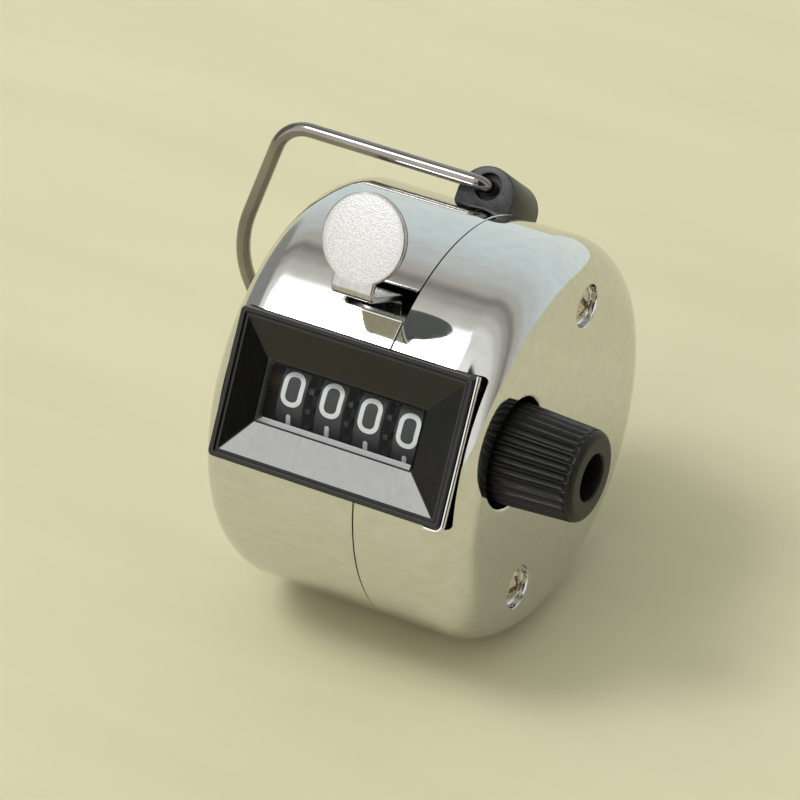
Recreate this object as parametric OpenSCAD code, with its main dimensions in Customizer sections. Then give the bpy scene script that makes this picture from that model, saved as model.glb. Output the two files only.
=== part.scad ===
// Hand tally counter: chrome drum case, four number wheels behind a framed window,
// thumb lever with pawl and ratchet, reset knob and swinging finger ring.
// Millimetres, +Z up, +X along the drum axis from the flat left end towards the knob, +Y to the back.

/* [Case] */
// Outside diameter of the drum
case_d = 45; // [42:0.5:49]
// Length of the drum from flat end to flat end
case_w = 32; // [29:0.25:35]
// Radius of the rolled rims at both ends
rim_r = 5; // [4.5:0.1:5.2]
// Thickness of the drawn sheet
wall = 0.8; // [0.7:0.05:0.9]
// Length of the left cup, which carries the lever slot and the ring lug
left_w = 19.7; // [18:0.1:21.5]
// How far the window leans back from upright as the counter lies
window_tilt = 28.4; // [20:0.2:36]

/* [Window] */
// Height of the black window frame
bezel_h = 16.4; // [15:0.2:18]
// Height of the clear opening in front of the digits
opening_h = 6.5; // [6:0.1:7]
// Thickness of the clear window plate
lens_t = 0.5; // [0.4:0.05:0.6]

/* [Number wheels] */
// Radius of the number wheels
wheel_r = 7.4; // [7.2:0.1:7.5]
// Width of the rim that carries the digits
rim_w = 3.2; // [3.1:0.05:3.25]
// Radius of the shaft the wheels turn on
shaft_r = 1.5; // [1.3:0.05:1.7]
// Radius of the shaft the carry pinions turn on
pinion_shaft_r = 0.75; // [0.6:0.05:0.85]

/* [Lever] */
// Radius of the round thumb pad
pad_r = 4.8; // [4.4:0.1:5.2]
// Thickness of the lever's sheet
lever_t = 0.8; // [0.7:0.05:0.9]
// Width of the stem below the pad
stem_w = 4.8; // [4.2:0.1:5]
// Radius of the pin the lever turns on
pivot_r = 0.9; // [0.8:0.05:1]
// Wire diameter of the return spring
spring_wire = 0.4; // [0.3:0.02:0.44]

/* [Reset knob] */
// Radius of the knob where it leaves the case
knob_r = 5.5; // [5.2:0.1:5.7]
// How far the knob stands out of the case
knob_out = 9.05; // [7.5:0.05:10]
// Number of flutes round the knob
flutes = 30; // [24:1:32]
// Radius of one flute
flute_r = 0.36; // [0.25:0.01:0.4]

/* [Ring and lug] */
// Wire diameter of the finger ring
ring_wire = 1.6; // [1.4:0.05:1.7]
// Length of the half-round lug along the ring's hinge axis
lug_len = 8; // [7:0.2:8.4]
// How far behind the window's upright the lug sits round the drum
lug_angle = 15; // [10:0.5:18]

/* [Fits] */
// Radial clearance of a turning fit
run_fit = 0.05; // [0.03:0.01:0.08]
// Radial clearance of a fixed fit
press_fit = 0.01; // [0.01:0.005:0.03]
// Gap round pieces laid into an opening
set_gap = 0.1; // [0.06:0.01:0.15]

/* [Hidden] */
$fn = 96;

// Case values
case_r = case_d / 2;
inner_r = case_r - wall;
seam_gap = 0.12;
left_depth = left_w - seam_gap / 2;
right_depth = case_w - left_w - seam_gap / 2;
lip_t = 0.5;
lip_len = 1.6;
post_r = 1.5;
post_f = 1.4;
post_u = 0.3;
post_margin = 0.4;
post_pitch = case_r - rim_r - post_r - post_margin;
dimple_r = 2.5;
dimple_depth = 0.9;
dimple_floor = case_w - dimple_depth;
post_end = dimple_floor - wall;
screw_r = 0.8;
screw_head_r = 1.95;
screw_head_h = 0.85;
screw_len = 4.6;
cut_over = 1;

// Window values, with the front plane just inside the drum's crown
bezel_margin = 2.2;
bezel_shift = 0.2;
bezel_w = case_w - 2 * bezel_margin;
bezel_x = case_w / 2 + bezel_shift;
bezel_u = 0.3;
bezel_sink = 0.7;
bezel_f = case_r - bezel_sink;
bezel_depth = 3.6;
bezel_corner = 0.6;
lip_w = 0.6;
lip_h = 0.25;
funnel_margin = 0.95;
funnel_depth = 2.35;
opening_f = bezel_f - funnel_depth;
frame_left = 3.6;
frame_right = 5.5;
opening_x0 = bezel_x - bezel_w / 2 + frame_left;
opening_w = bezel_w - frame_left - frame_right;
opening_u = 0.05;
lens_margin = 1.2;

// Frame values; the plates stand off the two end walls
plate_left_x = 4.4;
plate_left_t = 1;
plate_inset = 4.5;
plate_right_x = case_w - plate_inset;
plate_right_t = 0.8;
plate_margin = 2.5;
plate_r = case_r - plate_margin;
pillar_r = 1.3;
tenon_r = 0.8;
tenon_out = 0.2;
pillars = [[-12, 8], [-12, -9], [10.5, -12.5]];

// Wheel values; four hubs, the ratchet and the drive arm fill the room between the plates
wheel_depth = 11.3;
wheel_f = case_r - wheel_depth;
wheel_u = 0.3;
wheel_count = 4;
hub_r = 2.6;
hub_gap = 0.25;
spacer_w = 1.1;
end_play = 0.2;
ratchet_t = 0.9;
pawl_room = 0.5;
arm_t = 0.6;
arm_play = 0.45;
stack_x0 = plate_left_x + plate_left_t + spacer_w + end_play;
stack_x1 = plate_right_x - arm_play - arm_t - pawl_room - ratchet_t;
wheel_pitch = (stack_x1 - stack_x0 + hub_gap) / wheel_count;
hub_out = (wheel_pitch - hub_gap) / 2;
wheel_x = stack_x0 + hub_out;
units_x = wheel_x + (wheel_count - 1) * wheel_pitch;

// Carry values; a gear and a carry cam share the gap between two rims, with the pinion over both
side_gap = 0.25;
side_w = (wheel_pitch - rim_w - side_gap) / 2;
pinion_gap = 0.2;
pinion_w = wheel_pitch - rim_w - 2 * pinion_gap;
pinion_dist = 8.9;
pinion_dir = -43;
gear_teeth = 20;
pinion_teeth = 8;
gear_root = 5.6;
gear_tip_gap = 0.18;
pinion_root = 1.85;
pinion_tip_gap = 0.26;
gear_tip = pinion_dist - pinion_root - gear_tip_gap;
pinion_tip = pinion_dist - gear_root - pinion_tip_gap;
cam_r = 4.6;
cam_tip = 5.55;
pinion_f = wheel_f - pinion_dist * cos(pinion_dir);
pinion_u = wheel_u + pinion_dist * sin(pinion_dir);

// Ratchet values; the pawl hangs behind the wheel and pushes its teeth down
ratchet_x = units_x + hub_out;
ratchet_tip = 4;
ratchet_root = 3;
ratchet_teeth = 10;
pawl_back = 4.6;
pawl_rise = 9.3;
pawl_f = wheel_f - pawl_back;
pawl_u = wheel_u + pawl_rise;
pawl_pin_r = 0.6;
pawl_side = 0.05;
pawl_t = 0.8;

// Return spring values
spring_side = 0.65;
spring_x0 = plate_left_x + plate_left_t + spring_side;
spring_len = 3.65;
spring_turns = 4.5;
spring_gap_r = 0.4;
spring_rc = pivot_r + spring_gap_r + spring_wire / 2;
spring_rings = 8;
spring_leg = 4;

// Lever values; the pivot lies just inside the drum, and the leg comes out of the slot to the upright pad
pivot_depth = 3.272;
pivot_reach = case_r - pivot_depth;
pivot_angle = 32.04;
pivot_f = pivot_reach * cos(pivot_angle);
pivot_u = pivot_reach * sin(pivot_angle);
sleeve_wall = 0.7;
sleeve_r = pivot_r + sleeve_wall;
sleeve_gap = 0.6;
lever_x0 = spring_x0 + spring_len + sleeve_gap;
arm_x = ratchet_x + ratchet_t + pawl_room;
lever_x1 = arm_x + arm_t;
pad_reach = 9.6;
pad_rise = 9.25;
leg_rise = 2.95;
pad_front = pivot_f + pad_reach;
pad_u = pivot_u + pad_rise;
leg_u = pivot_u + leg_rise;
slot_low = 30.5;
slot_high = 40.6;
seam_side = 1.3;
slot_side = 1.1;
slot_in = 14;
slot_out = 30;
stem_x = left_w - seam_side - stem_w / 2;
slot_x0 = stem_x - stem_w / 2 - slot_side;

// Knob values
knob_play = 0.5;
knob_x0 = plate_right_x + plate_right_t + knob_play;
knob_x1 = case_w + knob_out;
knob_taper = 0.45;
knob_end_r = knob_r - knob_taper;
knob_rim = 0.7;
knob_recess_r = 2.6;
knob_recess = 4.5;
knob_web = 0.6;
knob_gap = 0.65;
flute_in = 4;
flute_stop = 0.4;
shaft_out = 1.4;
shaft_x0 = plate_left_x - shaft_out;
shaft_x1 = knob_x1 - knob_recess - knob_web;

// Lug and ring values in the lug's own frame: x along the drum, back along the hinge, n away from the drum
lug_r = 3.35;
lug_side = 0.35;
lug_x = left_w - lug_side - lug_r;
lug_rise = 0.8;
lug_n = case_r + lug_rise;
hinge_rise = 1.85;
hinge_n = case_r + hinge_rise;
mouth_gap = 0.7;
mouth_depth = 1;
rivet_r = 1.1;
rivet_head_r = 1.8;
rivet_head_h = 0.7;
rivet_in = 0.7;
ring_r = ring_wire / 2;
ring_side = 0.3;
ring_front = -lug_len / 2 - ring_r - ring_side;
joint_len = 0.1;
joint_swell = 0.02;
ring_end = 2;
ring_run = 24.7;
ring_lift = 0.2;
ring_reach = 29.6;
ring_drop = 11.5;
ring_back = 3.5;
ring_low = 1.5;
ring_tail = 24;
ring_turn = 12;
ring_clear = 3.8;
ring_rise = 8;
ring_shoulder = 5;
ring_neck = 8.5;
ring_points = [
  [lug_x, -ring_end, hinge_n],
  [lug_x, ring_front, hinge_n],
  [lug_x - ring_run, ring_front, hinge_n + ring_lift],
  [lug_x - ring_reach, ring_back, case_r - ring_drop],
  [lug_x - ring_tail, case_r - ring_back, -ring_low],
  [lug_x - ring_turn, case_r + ring_clear, 1],
  [lug_x, case_r + 2.5, ring_rise],
  [lug_x, case_r - 4.5, case_r - ring_shoulder],
  [lug_x, ring_neck, hinge_n],
  [lug_x, ring_end, hinge_n]
];
ring_bends = [0, 1.2, 4.2, 14, 9, 9, 9, 12, 10, 0];

// Outline helpers: a flat outline in back/up coordinates pushed along the drum axis, and rods along it
module along_x(x0, length) {
  translate([x0, 0, 0]) rotate([90, 0, 90]) linear_extrude(height = length) children();
}

module rod_x(x0, length, r, f, u) {
  translate([x0, -f, u]) rotate([0, 90, 0]) cylinder(h = length, r = r);
}

module spot(f, u, r) {
  translate([-f, u]) circle(r = r);
}

module as_lying() {
  rotate([-window_tilt, 0, 0]) children();
}

module on_lug() {
  rotate([-lug_angle, 0, 0]) children();
}

// Drum halves: a rounded cup turned about the drum axis
module cup_outline(r, rim, depth) {
  translate([0, rim]) square([r, depth - rim]);
  square([r - rim, depth]);
  translate([r - rim, rim]) circle(r = rim);
}

module cup(r, rim, depth) {
  rotate([0, 90, 0]) rotate_extrude() intersection() {
    cup_outline(r, rim, depth);
    square([r, depth]);
  }
}

module shell(depth) {
  difference() {
    cup(case_r, rim_r, depth);
    translate([wall, 0, 0]) cup(inner_r, rim_r - wall, depth);
  }
}

module rounded_plate(w, h, r) {
  square([w - 2 * r, h], center = true);
  square([w, h - 2 * r], center = true);
  for (sx = [-1, 1]) {
    for (sy = [-1, 1]) {
      translate([sx * (w / 2 - r), sy * (h / 2 - r)]) circle(r = r);
    }
  }
}

// Stands a flat outline on the window plane, pushed forward from depth f0 by the given length
module facing_front(f0, length) {
  translate([bezel_x, -f0, bezel_u]) rotate([90, 0, 0]) linear_extrude(height = length) children();
}

module window_cut() {
  facing_front(bezel_f - 9, 14) {
    rounded_plate(bezel_w + 2 * set_gap, bezel_h + 2 * set_gap, bezel_corner + set_gap);
  }
}

module lever_slot() {
  along_x(slot_x0, left_w - slot_x0) polygon([
    [-slot_in * cos(slot_low), slot_in * sin(slot_low)],
    [-slot_out * cos(slot_low), slot_out * sin(slot_low)],
    [-slot_out * cos(slot_high), slot_out * sin(slot_high)],
    [-slot_in * cos(slot_high), slot_in * sin(slot_high)]
  ]);
}

module left_case() {
  color([0.82, 0.83, 0.84]) as_lying() difference() {
    union() {
      shell(left_depth);
      translate([left_depth, 0, 0]) rotate([0, 90, 0]) rotate_extrude() union() {
        translate([inner_r - run_fit - lip_t, -lip_len]) square([lip_t, 2 * lip_len]);
        translate([inner_r - run_fit - lip_t, -lip_len]) square([lip_t + run_fit + 0.1, lip_len]);
      }
    }
    window_cut();
    lever_slot();
    on_lug() translate([lug_x, 0, inner_r - cut_over]) cylinder(h = wall + 2 * cut_over, r = rivet_r + set_gap);
  }
}

module right_case() {
  color([0.8, 0.81, 0.82]) as_lying() difference() {
    union() {
      translate([case_w, 0, 0]) mirror([1, 0, 0]) shell(right_depth);
      for (s = [-1, 1]) {
        rod_x(post_end, dimple_depth, dimple_r + 0.5, post_f, post_u + s * post_pitch);
      }
    }
    window_cut();
    rod_x(case_w - wall - cut_over, wall + 2 * cut_over, knob_r + knob_gap, wheel_f, wheel_u);
    for (s = [-1, 1]) {
      rod_x(dimple_floor, dimple_depth + cut_over, dimple_r, post_f, post_u + s * post_pitch);
      rod_x(post_end - cut_over, wall + 2 * cut_over, screw_r + set_gap, post_f, post_u + s * post_pitch);
    }
  }
}

// Case fixings: two posts from the left end wall, and two cross-head screws into them
module case_posts() {
  color([0.6, 0.6, 0.62]) as_lying() for (s = [-1, 1]) {
    difference() {
      rod_x(wall, post_end - wall, post_r, post_f, post_u + s * post_pitch);
      rod_x(dimple_floor - screw_len - 0.4, screw_len, screw_r + press_fit, post_f, post_u + s * post_pitch);
    }
  }
}

module case_screws() {
  color([0.7, 0.7, 0.72]) as_lying() for (s = [-1, 1]) {
    translate([dimple_floor, -post_f, post_u + s * post_pitch]) rotate([0, 90, 0]) difference() {
      union() {
        translate([0, 0, -screw_len]) cylinder(h = screw_len + 0.1, r = screw_r);
        intersection() {
          cylinder(h = screw_head_h, r = screw_head_r);
          translate([0, 0, screw_head_h - 3]) sphere(r = 3);
        }
      }
      for (a = [45, 135]) {
        rotate([0, 0, a]) translate([-1.2, -0.22, screw_head_h - 0.55]) cube([2.4, 0.44, 1]);
      }
    }
  }
}

// Window frame: rounded block with a thin front lip, sloped sides down to the opening, lens seat behind
module window_bezel() {
  front = bezel_f - lip_h;
  x0 = bezel_x - bezel_w / 2 + funnel_margin;
  x1 = bezel_x + bezel_w / 2 - funnel_margin;
  u0 = bezel_u - bezel_h / 2 + funnel_margin;
  u1 = bezel_u + bezel_h / 2 - funnel_margin;
  ox1 = opening_x0 + opening_w;
  ou0 = opening_u - opening_h / 2;
  ou1 = opening_u + opening_h / 2;
  color([0.06, 0.06, 0.06]) as_lying() difference() {
    union() {
      facing_front(bezel_f - bezel_depth, bezel_depth - lip_h) rounded_plate(bezel_w, bezel_h, bezel_corner);
      facing_front(front - 0.1, lip_h + 0.1) difference() {
        rounded_plate(bezel_w, bezel_h, bezel_corner);
        rounded_plate(bezel_w - 2 * lip_w, bezel_h - 2 * lip_w, bezel_corner - 0.4);
      }
    }
    polyhedron(
      points = [
        [opening_x0, -opening_f + 0.05, ou0], [ox1, -opening_f + 0.05, ou0],
        [ox1, -opening_f + 0.05, ou1], [opening_x0, -opening_f + 0.05, ou1],
        [x0, -front - 0.02, u0], [x1, -front - 0.02, u0], [x1, -front - 0.02, u1], [x0, -front - 0.02, u1]
      ],
      faces = [[0, 1, 2, 3], [7, 6, 5, 4], [4, 5, 1, 0], [5, 6, 2, 1], [6, 7, 3, 2], [7, 4, 0, 3]]
    );
    translate([opening_x0 - lens_margin - run_fit, -opening_f, ou0 - lens_margin - run_fit]) {
      cube([opening_w + 2 * lens_margin + 2 * run_fit, 4, opening_h + 2 * lens_margin + 2 * run_fit]);
    }
  }
}

module window_lens() {
  color([0.8, 0.9, 0.95, 0.4]) as_lying() {
    translate([opening_x0 - lens_margin, -opening_f, opening_u - opening_h / 2 - lens_margin]) {
      cube([opening_w + 2 * lens_margin, lens_t, opening_h + 2 * lens_margin]);
    }
  }
}

// Lug: half-round block riveted to the drum, bored through for the ring's ends
module ring_lug() {
  color([0.3, 0.3, 0.31]) as_lying() on_lug() difference() {
    translate([lug_x, lug_len / 2, lug_n]) rotate([90, 0, 0]) linear_extrude(height = lug_len) union() {
      circle(r = lug_r);
      translate([-lug_r, -lug_rise - cut_over]) square([2 * lug_r, lug_rise + cut_over]);
    }
    translate([-2, 0, 0]) rotate([0, 90, 0]) cylinder(h = case_w + 4, r = case_r + 0.02);
    translate([lug_x, lug_len / 2 + cut_over, hinge_n]) rotate([90, 0, 0]) {
      cylinder(h = lug_len + 2 * cut_over, r = ring_r + run_fit);
    }
    for (s = [-1, 1]) {
      translate([lug_x, s * lug_len / 2 + mouth_depth, hinge_n]) rotate([90, 0, 0]) {
        cylinder(h = 2 * mouth_depth, r = ring_r + mouth_gap);
      }
    }
    translate([lug_x, 0, case_r - cut_over]) cylinder(h = cut_over + rivet_in, r = rivet_r + press_fit);
  }
}

module lug_rivet() {
  head_top = inner_r - 2 * run_fit;
  shank_top = case_r + rivet_in - run_fit;
  color([0.5, 0.5, 0.5]) as_lying() on_lug() translate([lug_x, 0, 0]) union() {
    translate([0, 0, head_top - rivet_head_h]) cylinder(h = rivet_head_h, r = rivet_head_r);
    translate([0, 0, head_top - rivet_head_h / 2]) cylinder(h = shank_top - head_top + rivet_head_h / 2, r = rivet_r);
  }
}

// Finger ring: one bent wire, straight runs joined by torus bends, its two ends turning in the lug
function unit(v) = v / norm(v);
function bend_in(i) = unit(ring_points[i - 1] - ring_points[i]);
function bend_out(i) = unit(ring_points[i + 1] - ring_points[i]);
function bend_half(i) = acos(bend_in(i) * bend_out(i)) / 2;
function bend_cut(i) = ring_bends[i] == 0 ? 0 : ring_bends[i] / tan(bend_half(i));
function run_start(i) = ring_bends[i] == 0 ? ring_points[i] : ring_points[i] + bend_out(i) * bend_cut(i);
function run_end(i) = ring_bends[i] == 0 ? ring_points[i] : ring_points[i] + bend_in(i) * bend_cut(i);
function bend_centre(i) = ring_points[i] + unit(bend_in(i) + bend_out(i)) * ring_bends[i] / sin(bend_half(i));

module placed(e1, e2, e3, p) {
  multmatrix([
    [e1[0], e2[0], e3[0], p[0]],
    [e1[1], e2[1], e3[1], p[1]],
    [e1[2], e2[2], e3[2], p[2]],
    [0, 0, 0, 1]
  ]) children();
}

module wire_run(p, q) {
  d = unit(q - p);
  side = unit(cross(d, abs(d[2]) < 0.9 ? [0, 0, 1] : [1, 0, 0]));
  placed(side, cross(d, side), d, p + d * joint_len) cylinder(h = norm(q - p) - 2 * joint_len, r = ring_r);
}

module wire_joint(p, d) {
  translate(p + d * joint_len / 2) sphere(r = ring_r + joint_swell);
}

module wire_bend(i) {
  c = bend_centre(i);
  e1 = unit(run_end(i) - c);
  e3 = unit(cross(e1, run_start(i) - c));
  placed(e1, cross(e3, e1), e3, c) rotate_extrude(angle = 180 - 2 * bend_half(i)) {
    translate([ring_bends[i], 0]) circle(r = ring_r);
  }
}

module finger_ring() {
  last = len(ring_points) - 1;
  color([0.85, 0.85, 0.86]) as_lying() on_lug() union() {
    for (i = [0 : last - 1]) {
      wire_run(run_start(i), run_end(i + 1));
    }
    for (i = [1 : last - 1]) {
      wire_bend(i);
      wire_joint(run_end(i), bend_in(i));
      wire_joint(run_start(i), bend_out(i));
    }
  }
}

// Frame: two plates on three shouldered pillars carry the shafts and the lever pin
module plate_outline() {
  difference() {
    union() {
      circle(r = plate_r);
      spot(pivot_f, pivot_u, 1.9);
    }
    translate([-case_r, -case_r]) {
      square([case_r - (bezel_f - bezel_depth), case_r + bezel_u + bezel_h / 2 + 0.4]);
    }
    spot(wheel_f, wheel_u, shaft_r + run_fit);
    spot(pinion_f, pinion_u, pinion_shaft_r + press_fit);
    spot(pivot_f, pivot_u, pivot_r + press_fit);
    for (s = [-1, 1]) {
      spot(post_f, post_u + s * post_pitch, post_r + run_fit);
    }
    for (p = pillars) {
      spot(p[0], p[1], tenon_r + press_fit);
    }
  }
}

module frame_plate_left() {
  color([0.66, 0.62, 0.5]) as_lying() along_x(plate_left_x, plate_left_t) plate_outline();
}

module frame_plate_right() {
  color([0.66, 0.62, 0.5]) as_lying() along_x(plate_right_x, plate_right_t) plate_outline();
}

module frame_pillars() {
  inside = plate_left_x + plate_left_t;
  outside = plate_right_x + plate_right_t;
  color([0.7, 0.66, 0.52]) as_lying() for (p = pillars) {
    union() {
      rod_x(inside, plate_right_x - inside, pillar_r, p[0], p[1]);
      rod_x(plate_left_x - tenon_out, outside - plate_left_x + 2 * tenon_out, tenon_r, p[0], p[1]);
    }
  }
}

// Number wheels: rim and hub on the shaft, a driven gear on the right, a two-tooth carry cam on the left
function ring_of_teeth(count, root, tip, root_half, tip_half) = [
  for (i = [0 : count - 1])
    for (p = [[root, -root_half], [tip, -tip_half], [tip, tip_half], [root, root_half]])
      p[0] * [cos(360 * i / count + p[1]), sin(360 * i / count + p[1])]
];

module driven_gear() {
  translate([-wheel_f, wheel_u]) rotate(pinion_dir) {
    polygon(ring_of_teeth(gear_teeth, gear_root, gear_tip, 4.6, 2.2));
  }
}

module carry_cam() {
  translate([-wheel_f, wheel_u]) union() {
    circle(r = cam_r);
    for (a = [61, 79]) {
      rotate(a) polygon([[cam_r - 0.6, -0.55], [cam_tip, -0.35], [cam_tip, 0.35], [cam_r - 0.6, 0.55]]);
    }
  }
}

module number_wheel(x, driven, carry) {
  color([0.1, 0.1, 0.11]) as_lying() difference() {
    union() {
      rod_x(x - rim_w / 2, rim_w, wheel_r, wheel_f, wheel_u);
      rod_x(x - hub_out, 2 * hub_out, hub_r, wheel_f, wheel_u);
      if (driven) {
        along_x(x + rim_w / 2 - 0.05, side_w + 0.05) driven_gear();
      }
      if (carry) {
        along_x(x - rim_w / 2 - side_w, side_w + 0.05) carry_cam();
      }
    }
    rod_x(x - hub_out - cut_over, 2 * (hub_out + cut_over), shaft_r + run_fit, wheel_f, wheel_u);
  }
}

module wheel_thousands() {
  number_wheel(wheel_x, true, false);
}

module wheel_hundreds() {
  number_wheel(wheel_x + wheel_pitch, true, true);
}

module wheel_tens() {
  number_wheel(wheel_x + 2 * wheel_pitch, true, true);
}

module wheel_units() {
  number_wheel(units_x, false, true);
}

module wheel_shaft() {
  color([0.72, 0.72, 0.74]) as_lying() rod_x(shaft_x0, shaft_x1 - shaft_x0, shaft_r, wheel_f, wheel_u);
}

module wheel_spacer() {
  x0 = plate_left_x + plate_left_t;
  color([0.7, 0.66, 0.5]) as_lying() difference() {
    rod_x(x0, spacer_w, hub_r - end_play, wheel_f, wheel_u);
    rod_x(x0 - cut_over, spacer_w + 2 * cut_over, shaft_r + run_fit, wheel_f, wheel_u);
  }
}

module shaft_clip() {
  color([0.35, 0.35, 0.36]) as_lying() difference() {
    rod_x(plate_left_x - 0.8, 0.5, shaft_r + 1, wheel_f, wheel_u);
    rod_x(plate_left_x - 2, 3, shaft_r + press_fit, wheel_f, wheel_u);
  }
}

// Carry pinions: eight teeth, each in the gap between two wheels
module carry_pinion(x) {
  color([0.75, 0.68, 0.45]) as_lying() along_x(x + rim_w / 2 + pinion_gap, pinion_w) difference() {
    translate([-pinion_f, pinion_u]) rotate(pinion_dir + 180 + 180 / pinion_teeth) {
      polygon(ring_of_teeth(pinion_teeth, pinion_root, pinion_tip, 13, 4.5));
    }
    spot(pinion_f, pinion_u, pinion_shaft_r + run_fit);
  }
}

module pinion_thousands() {
  carry_pinion(wheel_x);
}

module pinion_hundreds() {
  carry_pinion(wheel_x + wheel_pitch);
}

module pinion_tens() {
  carry_pinion(wheel_x + 2 * wheel_pitch);
}

module pinion_shaft() {
  length = plate_right_x + plate_right_t - plate_left_x;
  color([0.72, 0.72, 0.74]) as_lying() rod_x(plate_left_x, length, pinion_shaft_r, pinion_f, pinion_u);
}

// Ratchet drive: saw-toothed wheel beside the units wheel, hanging pawl, leaf detent below
module ratchet_wheel() {
  outline = [
    for (i = [0 : ratchet_teeth - 1])
      for (p = [[ratchet_tip, -36 * i], [ratchet_root, -36 * (i + 1)]])
        p[0] * [cos(p[1]), sin(p[1])]
  ];
  color([0.75, 0.68, 0.45]) as_lying() along_x(ratchet_x, ratchet_t) difference() {
    translate([-wheel_f, wheel_u]) polygon(outline);
    spot(wheel_f, wheel_u, shaft_r + run_fit);
  }
}

module drive_pawl() {
  color([0.6, 0.6, 0.62]) as_lying() along_x(ratchet_x + pawl_side, pawl_t) difference() {
    union() {
      spot(pawl_f, pawl_u, 1.15);
      translate([-wheel_f, wheel_u]) polygon([
        [5.7, pawl_rise], [4.75, pawl_rise], [4.75, 2.4], [4.3, 1.6], [3.65, 0.9],
        [3.45, 0.45], [4.2, 0.2], [5.1, 1], [5.7, 2.2]
      ]);
    }
    spot(pawl_f, pawl_u, pawl_pin_r + run_fit);
  }
}

module pawl_pin() {
  color([0.72, 0.72, 0.74]) as_lying() {
    rod_x(ratchet_x - 0.15, lever_x1 - ratchet_x + 0.3, pawl_pin_r, pawl_f, pawl_u);
  }
}

module detent_spring() {
  foot = pillars[2];
  top = wheel_u - ratchet_tip - 0.25;
  color([0.6, 0.6, 0.64]) as_lying() along_x(ratchet_x + pawl_side, pawl_t) difference() {
    union() {
      spot(foot[0], foot[1], pillar_r + 0.4);
      translate([-foot[0] - 0.15, foot[1]]) square([0.35, top - 0.5 - foot[1]]);
      polygon([
        [-foot[0] + 0.2, top - 0.9], [-foot[0] + 0.2, top - 0.5], [-foot[0] - 0.5, top], [-foot[0] - 0.5, top - 0.4]
      ]);
    }
    spot(foot[0], foot[1], pillar_r + press_fit);
  }
}

// Thumb lever: upright round pad on a leg that bends back through the slot, welded to the sleeve inside
module thumb_lever() {
  back = pad_front - lever_t;
  top = leg_u + lever_t;
  color([0.86, 0.86, 0.85]) as_lying() difference() {
    union() {
      translate([stem_x, -back, pad_u]) rotate([90, 0, 0]) cylinder(h = lever_t, r = pad_r);
      along_x(stem_x - stem_w / 2, stem_w) polygon([
        [-pad_front, pad_u - 2], [-pad_front, leg_u + 0.8], [-pad_front + 0.25, leg_u + 0.25], [-pad_front + 0.8, leg_u],
        [-pivot_f - 2.5, leg_u], [-pivot_f - 1.7, leg_u - 0.4], [-pivot_f - 1.15, leg_u - 1.2], [-pivot_f - 0.8, pivot_u + 1],
        [-pivot_f - 0.1, pivot_u + 1.2], [-pivot_f - 0.35, leg_u - 0.6], [-pivot_f - 1, leg_u + 0.35], [-pivot_f - 2.1, top],
        [-back + 0.35, top], [-back, top + 0.35], [-back, pad_u - 2]
      ]);
    }
    rod_x(lever_x0, lever_x1 - lever_x0, sleeve_r + press_fit, pivot_f, pivot_u);
  }
}

module lever_sleeve() {
  color([0.62, 0.62, 0.64]) as_lying() difference() {
    rod_x(lever_x0, lever_x1 - lever_x0, sleeve_r, pivot_f, pivot_u);
    rod_x(lever_x0 - cut_over, lever_x1 - lever_x0 + 2 * cut_over, pivot_r + run_fit, pivot_f, pivot_u);
  }
}

module drive_arm() {
  color([0.62, 0.62, 0.64]) as_lying() along_x(arm_x, arm_t) difference() {
    union() {
      spot(pivot_f, pivot_u, sleeve_r + 0.35);
      spot(pawl_f, pawl_u, 1.2);
      polygon([
        [-pivot_f, pivot_u + 1.6], [-pivot_f, pivot_u - 1.6], [-pawl_f, pawl_u - 0.9], [-pawl_f, pawl_u + 0.9]
      ]);
    }
    spot(pivot_f, pivot_u, sleeve_r + press_fit);
    spot(pawl_f, pawl_u, pawl_pin_r + press_fit);
  }
}

module lever_pivot_pin() {
  length = plate_right_x + plate_right_t - plate_left_x + 2 * tenon_out;
  color([0.72, 0.72, 0.74]) as_lying() rod_x(plate_left_x - tenon_out, length, pivot_r, pivot_f, pivot_u);
}

// Return spring: one wound wire round the pivot pin with a straight leg at each end
spring_steps = spring_turns * spring_rings;
spring_pitch = spring_len / spring_turns;
spring_lead = atan(spring_pitch / (2 * PI * spring_rc));
function coil_angle(i) = 90 + 360 * i / spring_rings;
function coil_out(i) = [0, cos(coil_angle(i)), sin(coil_angle(i))];
function coil_along(i) = [
  sin(spring_lead), -sin(coil_angle(i)) * cos(spring_lead), cos(coil_angle(i)) * cos(spring_lead)
];
function coil_point(i) = [spring_x0 + spring_pitch * i / spring_rings, 0, 0] + spring_rc * coil_out(i);
spring_path = concat(
  [coil_point(0) - spring_leg * coil_along(0)],
  [for (i = [0 : spring_steps]) coil_point(i)],
  [coil_point(spring_steps) + spring_leg * coil_along(spring_steps)]
);
function path_turn(k) = min(max(k - 1, 0), spring_steps);
spring_gap = min([
  for (i = [1 : spring_steps + 1])
    for (j = [i + 4 : 1 : spring_steps + 1])
      norm(spring_path[i] - spring_path[j])
]) - spring_wire;
echo(return_spring_least_gap = spring_gap);

module lever_return_spring() {
  sides = 6;
  count = len(spring_path);
  points = [
    for (k = [0 : count - 1])
      for (s = [0 : sides - 1])
        spring_path[k] + spring_wire / 2 * (cos(360 * s / sides) * coil_out(path_turn(k))
          + sin(360 * s / sides) * cross(coil_along(path_turn(k)), coil_out(path_turn(k))))
  ];
  skin = [
    for (k = [0 : count - 2])
      for (s = [0 : sides - 1])
        [k * sides + s, k * sides + (s + 1) % sides, (k + 1) * sides + (s + 1) % sides, (k + 1) * sides + s]
  ];
  caps = [[for (s = [sides - 1 : -1 : 0]) s], [for (s = [0 : sides - 1]) (count - 1) * sides + s]];
  color([0.55, 0.55, 0.57]) as_lying() translate([0, -pivot_f, pivot_u]) {
    polyhedron(points = points, faces = concat(skin, caps), convexity = 8);
  }
}

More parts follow.
